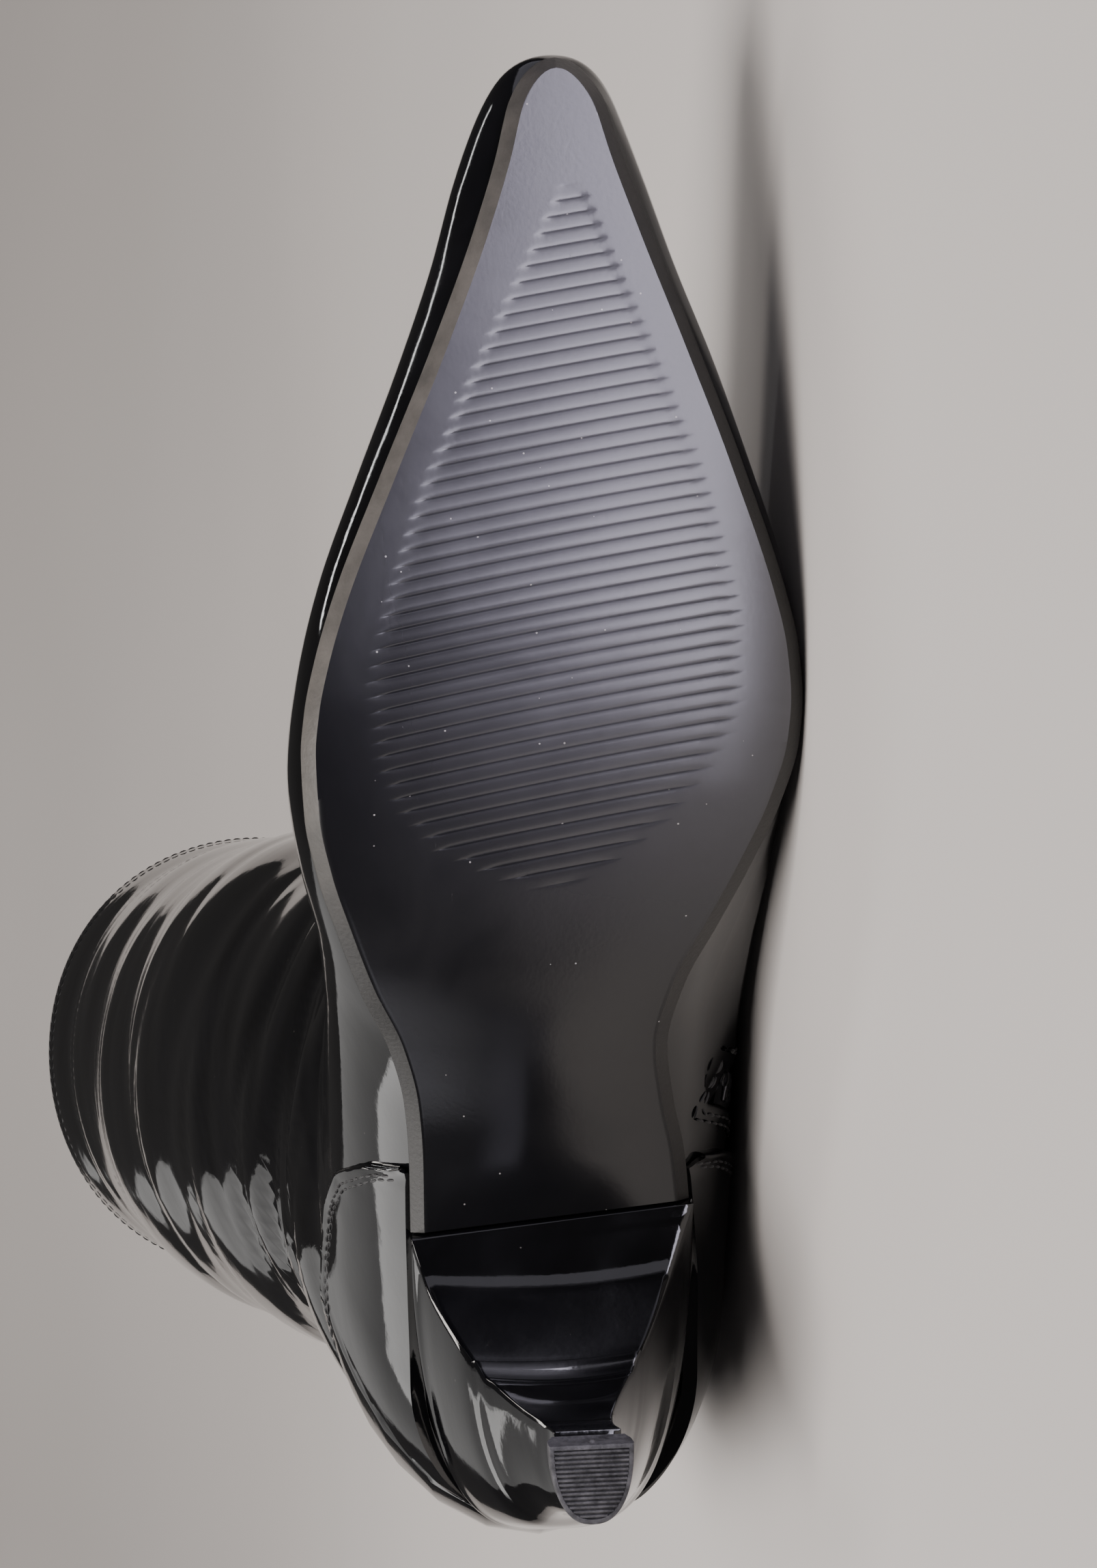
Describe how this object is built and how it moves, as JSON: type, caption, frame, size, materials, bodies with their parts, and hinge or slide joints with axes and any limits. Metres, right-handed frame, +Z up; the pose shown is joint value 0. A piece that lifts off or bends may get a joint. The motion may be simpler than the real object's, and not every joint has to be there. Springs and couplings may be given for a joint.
{
  "type": "over-the-knee boot",
  "caption": "Over-the-knee patent boot for the right foot, with pointed toe, low curved covered heel and inner side zip, lying on its inner side.",
  "frame": {"origin": "centre of the bounding box in X and Y, floor under the boot at Z = 0", "axes": "+Z up; +Y from the sole up the leg; +X from heel to toe; the boot lies on its inner side"},
  "size_m": [0.2866, 0.6245, 0.1161],
  "materials": {
    "patent": "black patent, high gloss",
    "heel_cover": "black patent over the heel block",
    "tip_rubber": "ribbed, dull",
    "sole_rubber": "satin, fine cross grooves",
    "sock": "dark sock",
    "zip_tape": "black coil chain",
    "zip_metal": "dark plated"
  },
  "bodies": {
    "boot": {"upper": "patent", "counter": "patent", "heel": "heel_cover", "heel_tip": "tip_rubber", "outsole": "sole_rubber", "insole": "sock", "zip_chain": "zip_tape", "zip_slider": "zip_metal"},
    "pull": {"zip_pull": "zip_metal"}
  },
  "joints": [
    {"name": "pull_swing", "type": "hinge", "parent": "boot", "child": "pull", "pos_m": [-0.12477, 0.27309, 0.02008], "axis": [-0.5677, 0.034, 0.8225], "range_deg": [-78, 78]}
  ]
}
